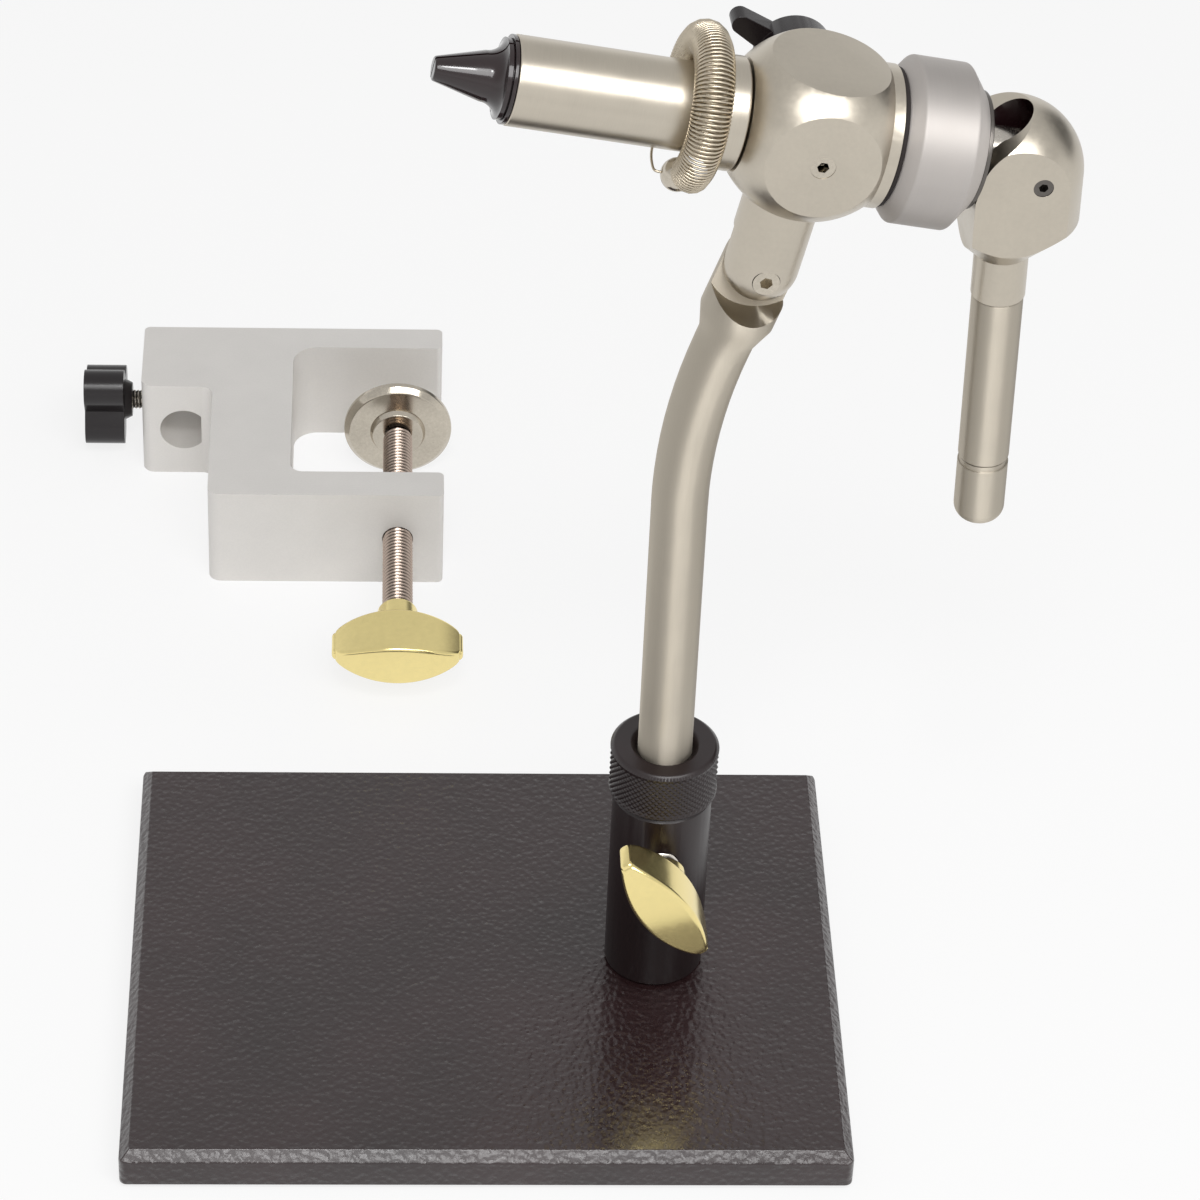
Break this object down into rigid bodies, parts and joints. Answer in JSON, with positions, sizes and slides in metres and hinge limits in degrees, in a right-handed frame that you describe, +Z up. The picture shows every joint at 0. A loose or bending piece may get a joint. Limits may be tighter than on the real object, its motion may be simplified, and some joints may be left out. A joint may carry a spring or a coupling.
{
  "type": "fly tying vise",
  "caption": "Fly tying vise: cam-closed rotary collet jaws on a tilting ball head, bent stem in a pedestal base with thumb screw, and a bench clamp beside it.",
  "frame": {"origin": "centre of the base's underside", "axes": "+X right, +Y away from the viewer, +Z up; the jaws point mostly along -X"},
  "size_m": [0.1721, 0.2228, 0.2035],
  "materials": {
    "base_hammer_paint": "hammered paint",
    "sheet_rubber": "matte",
    "black_steel": "satin black",
    "screw_steel": "oiled",
    "stud_steel": "bright",
    "satin_nickel": "satin nickel",
    "bronze": "plain",
    "spring_wire": "drawn",
    "turned_aluminium": "turned",
    "black_washer": "matte",
    "black_lever": "moulded",
    "white_nylon": "matte",
    "black_oxide": "glossy black oxide",
    "brass": "polished",
    "clamp_aluminium": "satin"
  },
  "bodies": {
    "base": {"base_plate": "base_hammer_paint", "base_sheet": "sheet_rubber", "base_bolt": "screw_steel", "socket_post": "black_steel", "side_set_screw": "screw_steel"},
    "post_thumb_screw": {"post_thumb_stud": "stud_steel", "post_thumb_knob": "brass"},
    "stem_collar": {"height_collar": "black_steel", "collar_set_screw": "screw_steel"},
    "stem": {"stem": "satin_nickel", "tilt_screw": "stud_steel"},
    "head": {"head_ball": "satin_nickel", "head_tongue": "satin_nickel", "front_bushing": "bronze", "rear_bushing": "bronze", "detent_screw": "screw_steel", "detent_spring": "spring_wire", "detent_ball": "spring_wire", "brake_plug": "white_nylon"},
    "lock_lever": {"lock_lever": "black_lever", "lock_stud": "screw_steel"},
    "spindle": {"jaw_sleeve": "satin_nickel", "spring_hub": "satin_nickel", "clip_spring": "spring_wire", "clip_catch": "satin_nickel", "return_spring": "spring_wire"},
    "drum": {"drum_seal": "black_washer", "adjusting_drum": "turned_aluminium", "thrust_washer": "black_washer"},
    "collet": {"collet": "black_oxide", "draw_rod": "stud_steel"},
    "cam_lever": {"cam_lever": "satin_nickel", "cam_pin": "stud_steel", "lever_handle": "satin_nickel", "lever_cap": "satin_nickel"},
    "bench_clamp": {"clamp_block": "clamp_aluminium", "clamp_frame": "clamp_aluminium"},
    "clamp_lock_screw": {"clamp_lock_stud": "stud_steel", "clamp_lock_knob": "black_lever"},
    "clamp_pad": {"clamp_pad": "clamp_aluminium"},
    "clamp_screw": {"clamp_screw": "stud_steel", "clamp_knob": "brass", "pad_washer": "clamp_aluminium"}
  },
  "joints": [
    {"name": "post_thumb_screw_turn", "type": "hinge", "parent": "base", "child": "post_thumb_screw", "pos_m": [0.0305, 0, 0.0375], "axis": [0, -1, 0], "range_deg": [-180, 180]},
    {"name": "stem_swivel", "type": "hinge", "parent": "base", "child": "stem_collar", "pos_m": [0.0305, 0, 0.048], "axis": [0, 0, 1], "continuous": true},
    {"name": "stem_raise", "type": "slide", "parent": "stem_collar", "child": "stem", "axis": [0, 0, 1], "range_m": [0, 0.02]},
    {"name": "head_tilt", "type": "hinge", "parent": "stem", "child": "head", "pos_m": [0.04136, 0.00086, 0.15998], "axis": [-0.0785, 0.9969, 0], "range_deg": [-45, 20]},
    {"name": "head_rotation", "type": "hinge", "parent": "head", "child": "spindle", "pos_m": [0.04787, 0.00137, 0.18588], "axis": [-0.9751, -0.0767, 0.2079], "continuous": true},
    {"name": "lock_lever_turn", "type": "hinge", "parent": "head", "child": "lock_lever", "pos_m": [0.04787, 0.00137, 0.18588], "axis": [-0.0785, 0.9969, 0], "range_deg": [-20, 70]},
    {"name": "drum_turn", "type": "hinge", "parent": "spindle", "child": "drum", "pos_m": [0.04787, 0.00137, 0.18588], "axis": [-0.9751, -0.0767, 0.2079], "range_deg": [-180, 180]},
    {"name": "collet_draw", "type": "slide", "parent": "spindle", "child": "collet", "axis": [-0.9751, -0.0767, 0.2079], "range_m": [0, 0.000918], "deforming": ["return_spring"]},
    {"name": "cam_lever_swing", "type": "hinge", "parent": "collet", "child": "cam_lever", "pos_m": [0.08395, 0.00421, 0.17819], "axis": [0.0785, -0.9969, 0], "range_deg": [0, 41]},
    {"name": "clamp_lift", "type": "slide", "parent": "base", "child": "bench_clamp", "axis": [0, 0, 1], "range_m": [0, 0.15]},
    {"name": "clamp_lock_screw_turn", "type": "hinge", "parent": "bench_clamp", "child": "clamp_lock_screw", "pos_m": [-0.068, 0.16175, 0.011], "axis": [-1, 0, 0], "range_deg": [-180, 180]},
    {"name": "clamp_pad_slide", "type": "slide", "parent": "bench_clamp", "child": "clamp_pad", "axis": [0, 1, 0], "range_m": [-0.005, 0.011]},
    {"name": "clamp_screw_turn", "type": "hinge", "parent": "clamp_pad", "child": "clamp_screw", "pos_m": [-0.0157, 0.116, 0.011], "axis": [0, 1, 0], "range_deg": [-1800, 3960]}
  ],
  "couplings": [
    {"joint": "cam_lever_swing", "follows": "collet_draw", "rad_per_m": 779.5},
    {"joint": "clamp_screw_turn", "follows": "clamp_pad_slide", "rad_per_m": 6283.2}
  ]
}
